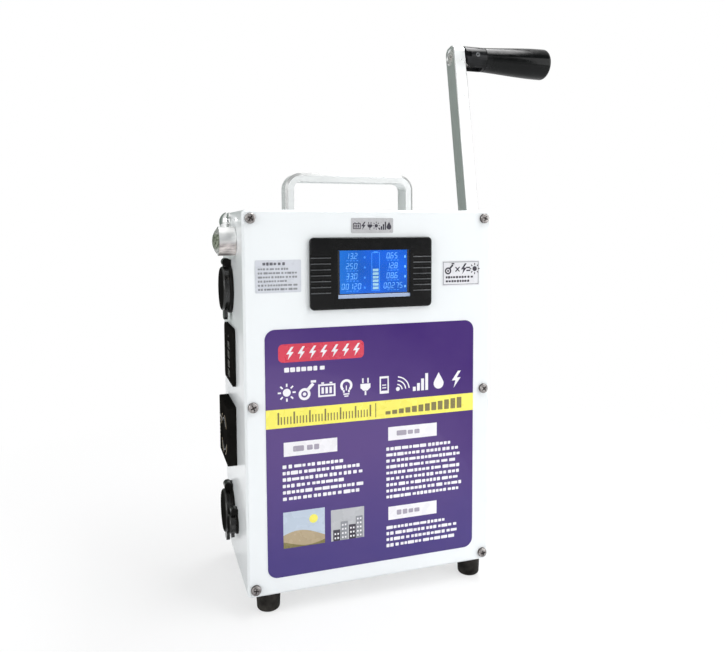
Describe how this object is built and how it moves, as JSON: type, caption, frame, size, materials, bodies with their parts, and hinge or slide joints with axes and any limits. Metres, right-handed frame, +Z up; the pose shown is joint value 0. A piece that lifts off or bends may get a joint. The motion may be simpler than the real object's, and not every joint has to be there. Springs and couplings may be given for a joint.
{
  "type": "hand crank generator",
  "caption": "White box power station with a folding-grip side crank, blue front energy meter, top carry handle, capped round sockets, charge ports, mains outlet and lamp on the other side.",
  "frame": {"origin": "on the plane the feet stand on, under the middle of the whole object's box, lamp and grip included", "axes": "+Z up, -Y out of the front face with the meter, +X toward the crank side, -X toward the sockets"},
  "size_m": [0.2979, 0.1116, 0.424],
  "materials": {
    "white_paint": "satin powder coat",
    "zinc_screw": "zinc plated",
    "foot_rubber": "matt",
    "label_purple": "gloss laminate",
    "label_silver": "brushed foil",
    "label_grey": "gloss laminate",
    "label_white": "gloss laminate",
    "black_plastic": "moulded",
    "cap_rubber": "moulded",
    "key_plastic": "moulded",
    "rocker_red": "gloss",
    "lcd_blue": "backlit panel",
    "clear_glass": "clear",
    "board_green": "solder mask",
    "chrome_trim": "polished",
    "contact_brass": "bright",
    "steel_part": "machined",
    "gear_steel": "oiled",
    "gloss_black": "polished",
    "gen_case": "turned",
    "magnet": "sintered",
    "rotor_iron": "laminated",
    "cell_wrap": "shrink sleeve",
    "holder_plastic": "moulded"
  },
  "bodies": {
    "case": {"case_shell": "white_paint", "front_cover": "white_paint", "rear_cover": "white_paint", "carry_handle": "white_paint", "cover_screws": "zinc_screw", "foot_screws": "zinc_screw", "foot_nuts": "zinc_screw", "handle_screws": "zinc_screw", "gearbox_screws": "zinc_screw", "panel_nuts": "zinc_screw", "feet": "foot_rubber", "label_main": "label_purple", "label_title": "label_silver", "label_notes": "label_grey", "label_formula": "label_white", "meter_housing": "black_plastic", "ac_outlet": "black_plastic", "charge_plate": "black_plastic", "socket_upper_body": "black_plastic", "socket_lower_body": "black_plastic", "jack_body": "black_plastic", "socket_nuts": "black_plastic", "meter_lcd": "lcd_blue", "meter_window": "clear_glass", "lamp_lens": "clear_glass", "meter_board": "board_green", "inverter_board": "board_green", "charge_board": "board_green", "charge_ports": "board_green", "lamp_body": "chrome_trim", "lamp_reflector": "chrome_trim", "switch_body": "chrome_trim", "ac_contacts": "contact_brass", "socket_contacts": "contact_brass", "jack_pin": "contact_brass", "gearbox_frame": "steel_part", "crank_housing": "steel_part", "generator_case": "gen_case", "generator_magnets": "magnet", "battery_cells": "cell_wrap", "battery_holders": "holder_plastic"},
    "crank": {"crank_shaft": "steel_part", "crank_gear": "gear_steel", "crank_arm": "white_paint", "hub_screw": "zinc_screw", "grip_tongue": "steel_part", "tongue_screw": "zinc_screw"},
    "fold": {"grip_collar": "gloss_black", "fold_pin": "steel_part", "grip_spindle": "steel_part"},
    "grip": {"grip_sleeve": "gloss_black"},
    "idler": {"idler_gear": "gear_steel"},
    "rotor": {"generator_rotor": "rotor_iron", "generator_pinion": "contact_brass"},
    "meter_key": {"meter_key": "key_plastic"},
    "switch_button": {"switch_button": "chrome_trim"},
    "upper_cap": {"socket_upper_cap": "cap_rubber"},
    "lower_cap": {"socket_lower_cap": "cap_rubber"},
    "jack_cap": {"jack_cap": "cap_rubber"},
    "rocker": {"ac_rocker": "rocker_red"}
  },
  "joints": [
    {"name": "crank_spin", "type": "hinge", "parent": "case", "child": "crank", "pos_m": [0.04995, 0.0006, 0.2446], "axis": [1, 0, 0], "continuous": true},
    {"name": "idler_spin", "type": "hinge", "parent": "case", "child": "idler", "pos_m": [0.03635, 0.0006, 0.2071], "axis": [1, 0, 0], "continuous": true},
    {"name": "rotor_spin", "type": "hinge", "parent": "case", "child": "rotor", "pos_m": [-0.01165, 0.0006, 0.1771], "axis": [1, 0, 0], "continuous": true},
    {"name": "grip_fold", "type": "hinge", "parent": "crank", "child": "fold", "pos_m": [0.07835, 0.0322, 0.41103], "axis": [0, 0.9825, -0.1865], "range_deg": [0, 87]},
    {"name": "grip_spin", "type": "hinge", "parent": "fold", "child": "grip", "pos_m": [0.11835, 0.0322, 0.41103], "axis": [1, 0, 0], "continuous": true},
    {"name": "meter_key_press", "type": "slide", "parent": "case", "child": "meter_key", "axis": [0, 1, 0], "range_m": [0, 0.0005], "stiffness_N_per_m": 800},
    {"name": "switch_press", "type": "slide", "parent": "case", "child": "switch_button", "axis": [1, 0, 0], "range_m": [0, 0.0012], "stiffness_N_per_m": 900},
    {"name": "upper_cap_flip", "type": "hinge", "parent": "case", "child": "upper_cap", "pos_m": [-0.1367, 0.0086, 0.2427], "axis": [0, 1, 0], "range_deg": [0, 110]},
    {"name": "lower_cap_flip", "type": "hinge", "parent": "case", "child": "lower_cap", "pos_m": [-0.1367, 0.0211, 0.0689], "axis": [0, 1, 0], "range_deg": [0, 110]},
    {"name": "jack_cap_flip", "type": "hinge", "parent": "case", "child": "jack_cap", "pos_m": [-0.13592, -0.0054, 0.059], "axis": [0, 1, 0], "range_deg": [0, 110]},
    {"name": "rocker_tilt", "type": "hinge", "parent": "case", "child": "rocker", "pos_m": [-0.13625, 0.0246, 0.11571], "axis": [0, 1, 0], "range_deg": [0, 16]}
  ],
  "couplings": [
    {"joint": "idler_spin", "follows": "crank_spin", "ratio": -4},
    {"joint": "rotor_spin", "follows": "crank_spin", "ratio": 16}
  ]
}
